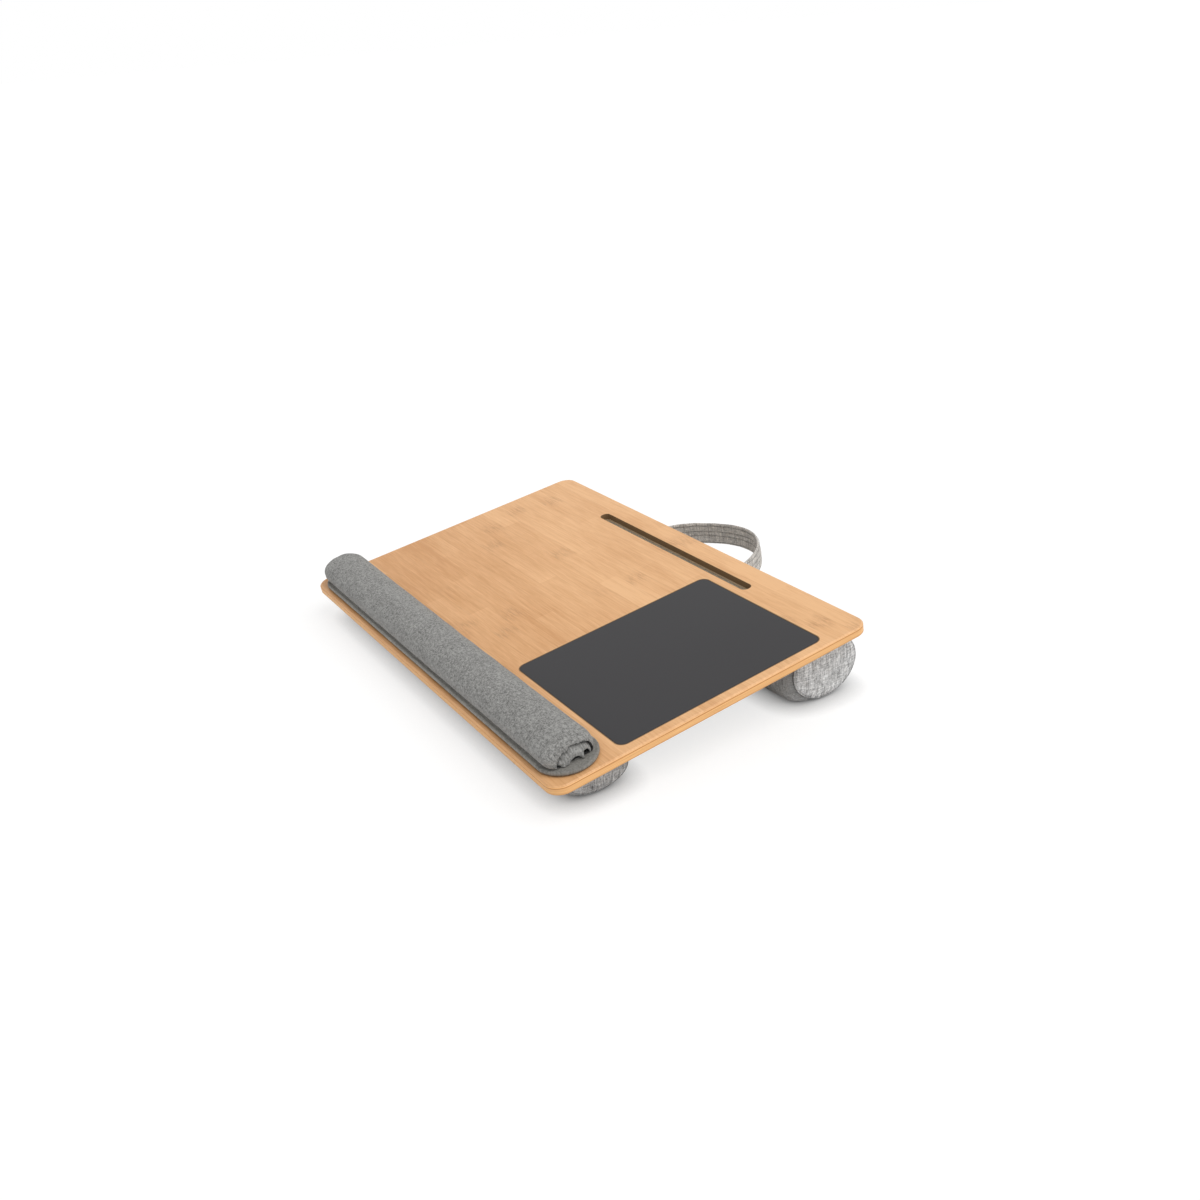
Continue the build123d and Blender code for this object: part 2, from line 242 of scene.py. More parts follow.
class Paint(Tree):
    """A material's node tree, ending in a Principled shader."""

    def __init__(self, name, **fixed):
        self.material = bpy.data.materials.new(name)
        self.material.use_nodes = True
        super().__init__(self.material.node_tree)
        self.shader = self.node("ShaderNodeBsdfPrincipled")
        self.node("ShaderNodeOutputMaterial", {}, {"Surface": self.shader.outputs[0]})
        self.finish(**fixed)

    def place(self, turn=(0, 0, 0), stretch=(1, 1, 1), on_cloth=False):
        """Object coordinates, or the cloth's own UV map, turned and stretched."""
        if on_cloth:
            start = self.node("ShaderNodeUVMap", {"uv_map": "cloth"}).outputs[0]
        else:
            start = self.node("ShaderNodeTexCoord").outputs["Object"]
        turned = self.node("ShaderNodeMapping", {}, {"Vector": start, "Rotation": turn})
        return self.node("ShaderNodeMapping", {}, {"Vector": turned.outputs[0], "Scale": stretch}).outputs[0]

    def split(self, vector):
        made = self.node("ShaderNodeSeparateXYZ", {}, {"Vector": vector})
        return [Num(self, socket) for socket in made.outputs]

    def join(self, x, y, z):
        return self.node("ShaderNodeCombineXYZ", {}, {"X": x, "Y": y, "Z": z}).outputs[0]

    def noise(self, vector, scale=1.0, detail=2.0, rough=0.5):
        return self.number("ShaderNodeTexNoise", "Fac", {}, {
            "Vector": vector, "Scale": scale, "Detail": detail, "Roughness": rough})

    def chance(self, x, y=0.0):
        """A fixed random number for each pair of whole numbers."""
        return self.number("ShaderNodeTexWhiteNoise", "Value", {"noise_dimensions": "2D"},
                           {"Vector": self.join(x, y, 0.0)})

    def step(self, value, low, high):
        """0 below low, 1 above high and smooth between them."""
        return self.number("ShaderNodeMapRange", 0, {"interpolation_type": "SMOOTHSTEP"}, {
            "Value": value, "From Min": low, "From Max": high})

    def mix(self, share, first, second):
        """A share of the second colour in the first."""
        factor, colour_a, colour_b = 0, 6, 7
        made = self.node("ShaderNodeMix", {"data_type": "RGBA"}, {factor: share, colour_a: first, colour_b: second})
        return made.outputs[2]

    def dim(self, shade, factor):
        """A colour times a number."""
        return self.node("ShaderNodeVectorMath", {"operation": "SCALE"}, {0: shade, "Scale": factor}).outputs[0]

    def bump(self, height, distance, strength):
        made = self.node("ShaderNodeBump", {}, {"Height": height, "Distance": distance, "Strength": strength})
        self.feed(self.shader.inputs["Normal"], made.outputs[0])

    def finish(self, **sockets):
        """Feed the shader's own sockets, named with _ for each space."""
        for name, value in sockets.items():
            self.feed(self.shader.inputs[name.replace("_", " ")], value)
        return self.material

    def rounded_gap(self, x, y, low, high, radius):
        """Distance outwards from a rounded rectangle, along the board."""
        across = (x - (low.x + high.x) / 2).math("ABSOLUTE") - ((high.x - low.x) / 2 - radius)
        along = (y - (low.y + high.y) / 2).math("ABSOLUTE") - ((high.y - low.y) / 2 - radius)
        outer_x = across.math("MAXIMUM", 0.0)
        outer_y = along.math("MAXIMUM", 0.0)
        corner = (outer_x * outer_x + outer_y * outer_y).math("SQRT")
        inner = across.math("MAXIMUM", along).math("MINIMUM", 0.0)
        return corner + inner - radius


# Materials

def bamboo(name, edge_light, is_face, is_scorched=True):
    """Strips of bamboo along X, with grain, brown node marks, and scorched walls where a cutter went through."""
    look = bpy.context.scene.lap_tray_wood
    paint = Paint(name, Specular_IOR_Level=0.35)
    level = (-TILT, 0, 0)
    x, y, z = paint.split(paint.place(level))

    def grain(along, across, detail, rough):
        """Noise with so many features in a metre, along the strips and across them."""
        return paint.noise(paint.place(level, (along, across, across)), 1.0, detail, rough)

    # Each strip is cut into lamellae, and each lamella has its own tone
    strip_at = y / look.strip + 0.31
    row = strip_at.math("FLOOR")
    lamella_at = x / look.lamella + paint.chance(row) * 3.0
    cell = lamella_at.math("FLOOR")
    tone = paint.chance(row + 17.0, cell)
    streak = grain(7, 320, 3.0, 0.6)
    fine = grain(25, 1500, 2.0, 0.6)
    cloud = grain(5, 22, 3.0, 0.55)
    fibre = grain(38, 620, 3.0, 0.65)
    # Painted light: the face is drawn paler towards the rear and the right, where the light falls
    light_gradient = (y - BOARD_MID_Y) * 1.7 + x * 0.35
    depth = tone * 0.36 + (streak - 0.5) * 0.8 + (fibre - 0.5) * 1.2 + (cloud - 0.5) * 1.2 + 0.3 - light_gradient
    shade = paint.mix(depth.math("ADD", 0.0, clamp=True), look.light, look.dark)

    # Node marks: a soft band across some lamellae
    mark_at = lamella_at.math("FRACT") - (0.2 + tone * 0.6)
    mark_wave = (grain(25, 110, 2.0, 0.5) - 0.5) * 0.16
    mark = 1.0 - paint.step((mark_at + mark_wave).math("ABSOLUTE"), 0.0, 0.1)
    speck = paint.step(grain(60, 480, 4.0, 0.75), 0.36, 0.72)
    shown = paint.step(paint.chance(row + 5.0, cell + 9.0), 0.35, 0.5)
    shade = paint.mix(mark * speck * shown * 0.55, shade, look.knot)
    seam = paint.step((strip_at.math("FRACT") - 0.5).math("ABSOLUTE"), 0.485, 0.5)
    shade = paint.dim(shade, (1.0 - seam * 0.09) * (0.93 + fine * 0.14))

    # The rim: pale and finely lined, with a deep glue line under the face ply and a deeper back ply
    side = paint.rounded_gap(x, y, BOARD_LOW, BOARD_HIGH, BOARD_CORNER)
    rim = paint.step(side, -0.6 * MM, -0.2 * MM)
    lines = paint.noise(paint.join(x * 18.0, y * 18.0, z * 1900.0), 1.0, 2.0, 0.6)
    lined = paint.mix((lines - 0.35).math("MULTIPLY", 2.0, clamp=True), edge_light, look.dark)
    shade = paint.mix(rim, shade, lined)
    core_top = TOP_Z - FACE_PLY
    core_bottom = core_top - CORE
    glue = 1.0 - paint.step((z - core_top).math("ABSOLUTE"), 0.2 * MM, 0.6 * MM)
    back_ply = 1.0 - paint.step(z, core_bottom - 1.0 * MM, core_bottom + 0.2 * MM)
    shade = paint.mix((glue * 0.9 + back_ply * 0.4) * rim, shade, look.glue)

    # Walls that the cutter scorched
    slot_at = BOARD_TURN.transposed() @ Vector(mount("device_slot")["pos_m"])
    slot_gap = paint.rounded_gap(x, y, slot_at - SLOT_HALF, slot_at + SLOT_HALF, SLOT_CORNER)
    burnt = 1.0 - paint.step(slot_gap, 0.15 * MM, 0.6 * MM)
    if is_face:
        pad_gap = paint.rounded_gap(x, y, PAD_LOW, PAD_HIGH, PAD_CORNER)
        burnt = burnt.math("MAXIMUM", 1.0 - paint.step(pad_gap, 0.9 * MM, 1.7 * MM))
    shade = paint.mix(burnt, shade, look.burnt if is_scorched else look.lower_wall)
    paint.bump(streak * 0.6 + fine * 0.4, 0.12 * MM, 0.5)
    return paint.finish(Base_Color=shade, Roughness=0.36 + fine * 0.14 + burnt * 0.25)


def cloth(name, base, mottle, pitch, slub=0.0):
    """Heather cloth: threads at a pitch, paler and darker fibres mixed in, slubs along both threads, and painted
    shade read from the mesh's shade attribute.
    """
    paint = Paint(name, Specular_IOR_Level=0.2, Sheen_Weight=0.15, Sheen_Roughness=0.5)

    def fibres(along, across, detail, rough):
        """Noise with so many features in a metre, along the cloth's two threads."""
        return paint.noise(paint.place(stretch=(along, across, 1), on_cloth=True), 1.0, detail, rough)

    u, v, _ = paint.split(paint.place(on_cloth=True))
    turn = CIRCLE / pitch
    weave = (u * turn).math("SINE") * (v * turn).math("SINE") * 0.5 + 0.5
    flecks = fibres(420, 900, 4.0, 0.75)
    flecks_across = fibres(1000, 380, 4.0, 0.75)
    blots = fibres(270, 270, 3.0, 0.75)
    cloud = fibres(60, 60, 3.0, 0.6)
    tone = (1.0 + (flecks + flecks_across - 1.0) * mottle * 6.0 + (blots - 0.5) * mottle * 4.6
            + (cloud - 0.5) * mottle * 1.5 + (weave - 0.5) * 0.16)
    relief = weave * 0.5 + flecks * 0.5 + flecks_across * 0.4
    if slub:
        long_slub = fibres(75, 640, 3.0, 0.7)
        cross_slub = fibres(640, 60, 3.0, 0.7)
        tone = tone + ((long_slub - 0.5) * 2.2 + (cross_slub - 0.5) * 3.8) * slub
        relief = relief + (long_slub + cross_slub) * 0.5
    # Painted shade: the shade point attribute darkens the cloth in seams, folds and crevices
    painted_shade = paint.number("ShaderNodeAttribute", "Fac", {"attribute_name": "shade"})
    paint.bump(relief, 0.5 * MM, 0.8)
    return paint.finish(Base_Color=paint.dim(base, tone.math("MAXIMUM", 0.15) * (1.0 - painted_shade)),
                        Roughness=0.88 + (flecks - 0.5) * 0.1)


def coated_sheet(name, base):
    """Charcoal sheet with a fine leathery grain."""
    paint = Paint(name, Specular_IOR_Level=0.3)
    grain = paint.number("ShaderNodeTexVoronoi", "Distance", {"feature": "DISTANCE_TO_EDGE"}, {
        "Vector": paint.place((-TILT, 0, 0)), "Scale": 1300.0})
    pores = paint.noise(paint.place(), 2600.0)
    cloud = paint.noise(paint.place(), 9.0)
    paint.bump(grain + pores * 0.2, 0.06 * MM, 0.6)
    return paint.finish(Base_Color=paint.dim(base, 0.94 + cloud * 0.12 + (pores - 0.5) * 0.08),
                        Roughness=0.5 + cloud * 0.08)


def thread_paint(name, base):
    """Twisted sewing thread."""
    paint = Paint(name, Sheen_Weight=0.2)
    twist = paint.noise(paint.place(), 2600.0)
    paint.bump(twist, 0.1 * MM, 0.5)
    return paint.finish(Base_Color=paint.dim(base, 0.8 + twist * 0.4), Roughness=0.7 + twist * 0.1)


def wire_paint(name, base):
    """Galvanised staple wire."""
    paint = Paint(name, Metallic=1.0)
    spangle = paint.noise(paint.place(), 700.0)
    return paint.finish(Base_Color=paint.dim(base, 0.85 + spangle * 0.3), Roughness=0.3 + spangle * 0.2)


def paints():
    """Every cloth and the thread, each made once."""
    tones = bpy.context.scene.lap_tray_cloth

    def get(name, maker, base, share=1.0, **settings):
        return bpy.data.materials.get(name) or maker(name, tuple(c * share for c in base), **settings)

    return {
        "roll": get("roll_knit", cloth, tones.roll, mottle=0.42, pitch=1.1 * MM),
        "roll_end": get("roll_end_knit", cloth, tones.roll, 1.08, mottle=0.3, pitch=1.1 * MM),
        "base": get("base_knit", cloth, tones.base, mottle=0.22, pitch=1.0 * MM),
        "tube": get("bolster_weave", cloth, tones.bolster, mottle=0.22, slub=0.4, pitch=0.8 * MM),
        # Painted light: the rear bolster's end panels are a much paler copy of the bolster cloth, as if lit, and the
        # front bolster's a copy close to its own tone
        "end": get("end_panel_weave", cloth, tones.bolster, 1.38, mottle=0.28, slub=0.75, pitch=0.8 * MM),
        "front_end": get("front_end_weave", cloth, tones.bolster, 1.02, mottle=0.26, slub=0.8, pitch=0.8 * MM),
        "seam": get("seam_weave", cloth, tones.bolster, 0.3, mottle=0.15, pitch=0.8 * MM),
        # Painted shade: a near-black copy of the roll's knit, for the inside of the roll's mouth
        "mouth": get("mouth_lining", cloth, tones.roll, 0.12, mottle=0.15, pitch=0.8 * MM),
        "strap": get("strap_weave", cloth, tones.strap, mottle=0.26, slub=0.5, pitch=0.8 * MM),
        "backing": get("backing_weave", cloth, tones.backing, mottle=0.2, pitch=0.9 * MM),
        "thread": get("sewing_thread", thread_paint, tones.thread),
    }


# Mesh helpers

def circle(count):
    """Directions evenly round a ring."""
    return [CIRCLE * k / count for k in range(count)]


def bell(place, middle, width):
    """1 in the middle, falling away smoothly on both sides."""
    return math.exp(-((place - middle) / width) ** 2)


def uneven(*place):
    """Smooth unevenness from about -1 to 1, the same on each run."""
    return noise.noise(Vector(place))


def wander(x, turn, seed, scale):
    """Unevenness along a tube and round it."""
    return uneven(x * scale, math.cos(turn) * 1.3 + seed, math.sin(turn) * 1.3 - seed)


def add_piece(name, mesh):
    """An object for a finished mesh, in the scene."""
    piece = bpy.data.objects.new(name, mesh)
    bpy.context.scene.collection.objects.link(piece)
    return piece


def skin(name, points, faces, material):
    """A new piece with its cloth's UV map still to be laid."""
    mesh = bpy.data.meshes.new(name)
    mesh.from_pydata([tuple(p) for p in points], [], faces)
    mesh.uv_layers.new(name="cloth")
    mesh.materials.append(material)
    return add_piece(name, mesh)


def lofted(name, rings, material, capped=True):
    """A closed skin through rings of equal count, with a UV map in metres along the rings and round them."""
    count, last = len(rings[0]), len(rings) - 1

    def girth(ring):
        return sum((ring[n] - ring[n - 1]).length for n in range(count))

    along = [0.0]
    for before, ring in zip(rings, rings[1:]):
        gaps = [(ring[n] - before[n]).length for n in range(0, count, 8)]
        along.append(along[-1] + sum(gaps) / len(gaps))
    widest = max(rings, key=girth)
    around = [0.0]
    for n in range(1, count + 1):
        around.append(around[-1] + (widest[n % count] - widest[n - 1]).length)

    points = [p for ring in rings for p in ring]
    faces, corners = [], []
    for r in range(last):
        here, there = r * count, (r + 1) * count
        for n in range(count):
            m = (n + 1) % count
            faces.append((here + n, here + m, there + m, there + n))
            corners += [(along[r], around[n]), (along[r], around[n + 1]),
                        (along[r + 1], around[n + 1]), (along[r + 1], around[n])]
    for r in (0, last) if capped else ():
        centre = sum(rings[r], Vector()) / count
        points.append(centre)
        for n in range(count):
            m = (n + 1) % count
            first, second = (m, n) if r == 0 else (n, m)
            faces.append((r * count + first, r * count + second, len(points) - 1))
            corners += [(p.y, p.z) for p in (rings[r][first], rings[r][second], centre)]

    piece = skin(name, points, faces, material)
    mesh = piece.data
    mesh.uv_layers["cloth"].data.foreach_set("uv", [c for corner in corners for c in corner])
    mesh.polygons.foreach_set("use_smooth", [True] * len(mesh.polygons))
    mesh.update()
    point_outwards(mesh)
    return piece


def point_outwards(mesh):
    """Turn the whole skin over if its volume comes out negative."""
    co = np.empty(len(mesh.vertices) * 3)
    mesh.vertices.foreach_get("co", co)
    co = co.reshape(-1, 3)
    volume = 0.0
    for face in mesh.polygons:
        a, *others = (co[index] for index in face.vertices)
        for b, c in zip(others, others[1:]):
            volume += np.dot(a, np.cross(b, c))
    if volume < 0:
        mesh.flip_normals()
        mesh.update()


def weld(piece):
    """Join the points that lie on each other, where a ring closes on itself."""
    work = bmesh.new()
    work.from_mesh(piece.data)
    bmesh.ops.remove_doubles(work, verts=work.verts, dist=1e-6)
    bmesh.ops.recalc_face_normals(work, faces=work.faces)
    work.to_mesh(piece.data)
    work.free()


def project_uv(piece, plane):
    """Lay the cloth's threads straight across a piece, in metres."""
    first, second = ("xyz".index(letter) for letter in plane)
    mesh = piece.data
    uv = mesh.uv_layers["cloth"].data
    for loop in mesh.loops:
        co = mesh.vertices[loop.vertex_index].co
        uv[loop.index].uv = (co[first], co[second])


def paint_shade(piece, shades):
    """Store painted shade: how much darker the cloth is drawn at each point, as shade in a seam or a fold."""
    layer = piece.data.attributes.new("shade", "FLOAT", "POINT")
    layer.data.foreach_set("value", list(shades) + [0.0] * (len(piece.data.vertices) - len(shades)))


def inflate(piece, held, pressure, cap, tension):
    """Swell a stuffed piece with a short cloth simulation, its seams and flats held, and keep the result."""
    scene = bpy.context.scene
    mesh = piece.data
    last_frame = 20
    rest = np.empty(len(mesh.vertices) * 3, dtype=np.float32)
    mesh.vertices.foreach_get("co", rest)
    group = piece.vertex_groups.new(name="held")
    for index in range(len(mesh.vertices)):
        weight = held[index] if index < len(held) else 1.0
        if weight:
            group.add([index], weight, "REPLACE")
    modifier = piece.modifiers.new("cloth", "CLOTH")
    settings = modifier.settings
    settings.quality = 5
    settings.mass = 0.3
    settings.vertex_group_mass = group.name
    settings.tension_stiffness = settings.compression_stiffness = tension
    settings.shear_stiffness = tension / 3
    settings.bending_stiffness = 0.1
    settings.use_pressure = True
    settings.uniform_pressure_force = pressure
    settings.effector_weights.gravity = 0.0
    modifier.collision_settings.use_collision = False
    modifier.point_cache.frame_start = 1
    modifier.point_cache.frame_end = last_frame
    for number in range(1, last_frame + 1):
        scene.frame_set(number)
    swollen = np.empty_like(rest)
    piece.evaluated_get(bpy.context.evaluated_depsgraph_get()).data.vertices.foreach_get("co", swollen)
    piece.modifiers.remove(modifier)
    piece.vertex_groups.clear()
    scene.frame_set(1)
    move = (swollen - rest).reshape(-1, 3)
    reach = np.linalg.norm(move, axis=1, keepdims=True)
    move *= np.minimum(1.0, cap / np.maximum(reach, 1e-9))
    mesh.vertices.foreach_set("co", (rest.reshape(-1, 3) + move).ravel())
    mesh.update()
    print("swelled", piece.name, "by up to", round(float(np.linalg.norm(move, axis=1).max()) / MM, 2), "mm")


def seat(piece, slot, *nodes):
    """Put a finished piece on the tray, in place of the nodes that it stands for."""
    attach(piece, TRAY)
    if nodes:
        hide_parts(*nodes)


def bend_with_handle(piece):
    """Bake a piece's placement into its mesh."""
    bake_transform(piece)


def repaint(node, material):
    """Give a frame node a better finish and leave its mesh alone."""
    mesh = frame["nodes"][node].data
    mesh.materials.clear()
    mesh.materials.append(material)


# Sections of the stuffed tubes

def soft_min(first, second, reach):
    """The smaller of two lengths, rounded where they are within reach of each other."""
    h = max(reach - abs(first - second), 0.0) / reach
    return min(first, second) - h * h * reach * 0.25


class Oval:
    """The section of a stuffed tube: an oval pressed flat by a board and by a table."""

    EASE = 3 * MM
    LEAST_FACING = 1e-4

    def __init__(self, centre_y, centre_z, half_width, half_height, flat, slope=0.0, flat_side=1, floor=None,
                 fullness=2.0):
        self.centre_y, self.centre_z = centre_y, centre_z
        self.half_width, self.half_height = half_width, half_height
        self.flat, self.slope, self.flat_side, self.floor = flat, slope, flat_side, floor
        self.fullness = fullness

    def facing(self, turn):
        """How squarely a direction meets the pressed side."""
        return (math.sin(turn) - self.slope * math.cos(turn)) * self.flat_side

    def radius(self, turn, inset=0.0, size=1.0):
        """Distance from the centre to the cloth in one direction."""
        c, s = math.cos(turn), math.sin(turn)
        a, b = self.half_width - inset, self.half_height - inset
        power = self.fullness if s < 0 else 2.0
        r = (abs(c / a) ** power + abs(s / b) ** power) ** (-1 / power)
        if self.facing(turn) > self.LEAST_FACING:
            r = soft_min(r, (self.flat - inset * 0.4) / self.facing(turn), self.EASE)
        if self.floor is not None and -s > self.LEAST_FACING:
            r = soft_min(r, (self.centre_z - self.floor) / -s, self.EASE)
        return r * size

    def pressed(self, turn):
        """Whether the cloth is held flat there by what lies on it."""
        facing = self.facing(turn)
        return facing > self.LEAST_FACING and self.radius(turn) * facing > self.flat - 1.2 * MM

    def point(self, x, turn, extra=0.0, inset=0.0, size=1.0):
        r = self.radius(turn, inset, size) + extra
        return Vector((x, self.centre_y + r * math.cos(turn), self.centre_z + r * math.sin(turn)))


def bolster_oval(name, oval_height):
    """The section of one bolster, from its cover's box and from the tilt."""
    low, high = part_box(name + "_cover")
    centre_y = (low.y + high.y) / 2
    centre_z = oval_height / 2 - 0.5 * MM
    panel_low, _ = board_box("cushion_backing_panel")
    height = (panel_low.z + centre_y * math.sin(TILT)) / math.cos(TILT)
    return Oval(centre_y, centre_z, (high.y - low.y) / 2, oval_height / 2,
                height - centre_z, math.tan(TILT), 1, floor=0.0)


# Bolsters

def make_bolster(name, oval_height, cloths, seed):
    """Cover, crowned end panels and welts of one bolster."""
    shape = bpy.context.scene.lap_tray_shape
    oval = bolster_oval(name, oval_height)
    _, (seam_x, _, _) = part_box(name + "_cover")
    stations, held_rings, puckers = 121, 3, 23
    spread_at, rear_spread_at = 3.85, 5.6
    on_table = 3 * MM
    rings, shades, held = [], [], []
    for n in range(stations):
        share = 2 * n / (stations - 1) - 1
        from_end = seam_x * (1 - abs(share)) ** 1.5
        x = math.copysign(seam_x - from_end, share)
        draw = 0.7 * math.exp(-from_end / (3.5 * MM)) + 0.3 * math.exp(-from_end / (20 * MM))
        ring = []
        for turn in circle(96):
            pucker = draw * 0.6 * MM * math.sin(turn * puckers + 2.2 * wander(x, turn, seed, 3))
            slack = 1.0 * MM * wander(x, turn, seed + 4, 12) + 0.5 * MM * wander(x, turn * 2, seed + 9, 38)
            spread = bell(turn, spread_at, 0.5) + 0.2 * bell(turn, rear_spread_at, 0.5)
            sag = shape.sag * spread * (1 - draw) * oval_height / shape.rear_oval
            bulge = oval.radius(turn) - min(oval.centre_z, oval.flat)
            open_side = min(1.0, max(0.0, bulge / (4 * MM)))
            p = oval.point(x, turn, (pucker + slack - 0.3 * MM) * open_side + sag, shape.end_draw_in * draw)
            ring.append(Vector((p.x, p.y, max(p.z, RESTING_GAP))))
            # Painted shade: the tube is drawn darker right beside its end seams
            shades.append(0.5 * math.exp(-from_end / (1.5 * MM)))
            is_end = n < held_rings or n >= stations - held_rings
            held.append(1.0 if is_end or p.z < on_table or oval.pressed(turn) else 0.0)
        rings.append(ring)
    cover = lofted(name + "_cloth", rings, cloths["tube"])
    paint_shade(cover, shades)
    inflate(cover, held, pressure=16.0, cap=3 * MM, tension=5.0)
    seat(cover, "bolster_cloth", name + "_cover", name + "_filling")
    for side, word in ((-1, "left"), (1, "right")):
        make_end(name, word, side, oval, seam_x, cloths["end"], seed)
        make_welt(name, word, oval, cloths["seam"])


def make_end(name, word, side, oval, seam_x, material, seed):
    """The crowned cloth disc that closes one end, its edge turned in at the seam."""
    draw_in = bpy.context.scene.lap_tray_shape.end_draw_in
    low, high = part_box(f"{name}_end_panel_{word}")
    start = side * (seam_x + 0.6 * MM)
    reach = high.x - low.x - 0.6 * MM
    turns = circle(120)
    steps, puckers = 26, 27
    rings, shades = [], []
    # Painted shade: the turned edge is drawn darkest at the seam, and its outer ring a little darker
    turned_edge = ((0.0, 1.6, 0.75), (0.3, 0.4, 0.0), (1.0, -0.2, 0.0), (2.0, 0.1, 0.0), (2.7, 0.9, 0.3))
    for along, inset, shade in turned_edge:
        x = start + side * along * MM
        rings.append([oval.point(x, turn, 0.0, draw_in + inset * MM) for turn in turns])
        shades += [shade] * len(turns)
    for n in range(1, steps):
        size = math.cos(n / (steps - 1) * math.pi / 2 * 0.985)
        rise = math.sin(n / (steps - 1) * math.pi / 2)
        ring = []
        for turn in turns:
            lean = 0.7 * MM * uneven(math.cos(turn) * size * 2.4, math.sin(turn) * size * 2.4, seed + side)
            pucker = 0.5 * MM * math.sin(turn * puckers + seed) * max(0.0, size - 0.72) * 4 * rise
            out = 1.5 * MM + reach * rise * 0.88 + (lean + pucker) * min(1.0, 3 * rise)
            ring.append(oval.point(start + side * out, turn, 0.0, draw_in + 1.2 * MM, size ** 0.9))
        rings.append(ring)
        # Painted shade: the crown's first rings next to the seam are drawn a little darker
        shades += [0.3 * max(0.0, 1 - n / 3)] * len(turns)
    panel = lofted(f"{name}_end_cloth_{word}", rings, material)
    paint_shade(panel, shades)
    project_uv(panel, "yz")
    seat(panel, "end_panel_cloth", f"{name}_end_panel_{word}")


def make_welt(name, word, oval, material):
    """The thin corded seam between tube and end panel."""
    draw_in = bpy.context.scene.lap_tray_shape.end_draw_in
    low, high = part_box(f"{name}_welt_{word}")
    radius = 1.1 * MM
    rings = []
    for turn in circle(144):
        centre = oval.point((low.x + high.x) / 2, turn, -0.9 * MM, draw_in)
        outward = Vector((0, math.cos(turn), math.sin(turn))) * radius
        sideways = Vector((radius, 0, 0))
        rings.append([centre + outward * math.cos(a) + sideways * math.sin(a) for a in circle(10)])
    rings.append(rings[0])
    welt = lofted(f"{name}_welt_cloth_{word}", rings, material, capped=False)
    weld(welt)
    seat(welt, "welt_cloth", f"{name}_welt_{word}")


# Wrist rest

def make_wrist_base(material):
    """The cloth-covered plate that the roll is sewn to: a stadium with a rounded rim."""
    low, high = board_box("wrist_rest_base_cover")
    radius = (high.y - low.y) / 2
    half = (high.x - low.x) / 2 - radius
    middle_y = (low.y + high.y) / 2
    height = high.z - low.z
    # Distance in from the rim, and the share of the height that is reached there
    profile = [(radius - 0.5 * MM, 0.0), (6 * MM, 0.0), (1.5 * MM, 0.0), (0.4 * MM, 0.14), (0.0, 0.4), (0.0, 0.66),
               (0.35 * MM, 0.86), (1.3 * MM, 0.99), (2.6 * MM, 1.0), (3.3 * MM, 0.93), (4.2 * MM, 1.0),
               (8 * MM, 1.02), (radius - 0.5 * MM, 1.02)]
    bend_steps, straight_steps = 40, 60
    rings, shades = [], []
    for inset, share in profile:
        r = radius - inset
        outline = []
        for side in (1, -1):
            for k in range(bend_steps):
                a = -math.pi / 2 + math.pi * k / (bend_steps - 1)
                outline.append((side * (half + r * math.cos(a)), middle_y + side * r * math.sin(a)))
            for k in range(1, straight_steps):
                outline.append((side * half * (1 - 2 * k / straight_steps), middle_y + side * r))
        ring = []
        for x, y in outline:
            wave = 0.12 * MM * uneven(x * 30, y * 30, 3.0) if share > 0.5 else 0.0
            ring.append(from_board(x, y, low.z + height * share + wave))
            # Painted shade: the rim is drawn darker low down where it turns under, and the base's ends beyond the
            # roll are drawn darker
            rim_shade = max(0.0, 0.7 * (1 - share / 0.5))
            shades.append(max(0.24 if abs(x) > half + 2 * MM else 0.0, rim_shade))
        rings.append(ring)
    base = lofted("wrist_rest_base_cloth", rings, material)
    paint_shade(base, shades)
    project_uv(base, "xy")
    seat(base, "base_cloth", "wrist_rest_base_cover")


# The roll's wavy hem at its right end: distance from the roll's middle and height over the board, in mm
HEM = ((-16.7, 8.0), (-15.6, 11.2), (-13.6, 14.2), (-11.0, 16.9), (-8.7, 18.7), (-6.5, 18.3), (-4.4, 18.9),
       (-2.2, 21.2), (-0.2, 22.3), (3.0, 21.8), (6.2, 21.5), (8.2, 20.4), (10.3, 20.6), (13.0, 19.7), (16.0, 18.6),
       (18.6, 17.4), (20.3, 15.0), (21.7, 10.0))
HEM_MIDDLE, HEM_HALF = 2.5 * MM, 19.2 * MM


def hem_height(across):
    """Height of the roll's wavy hem over the board, at a distance from the roll's middle."""
    place = across / MM
    for (y0, z0), (y1, z1) in zip(HEM, HEM[1:]):
        if place <= y1:
            share = min(1.0, max(0.0, (place - y0) / (y1 - y0)))
            share = share * share * (3 - 2 * share)
            return (z0 + (z1 - z0) * share) * MM
    return HEM[-1][1] * MM


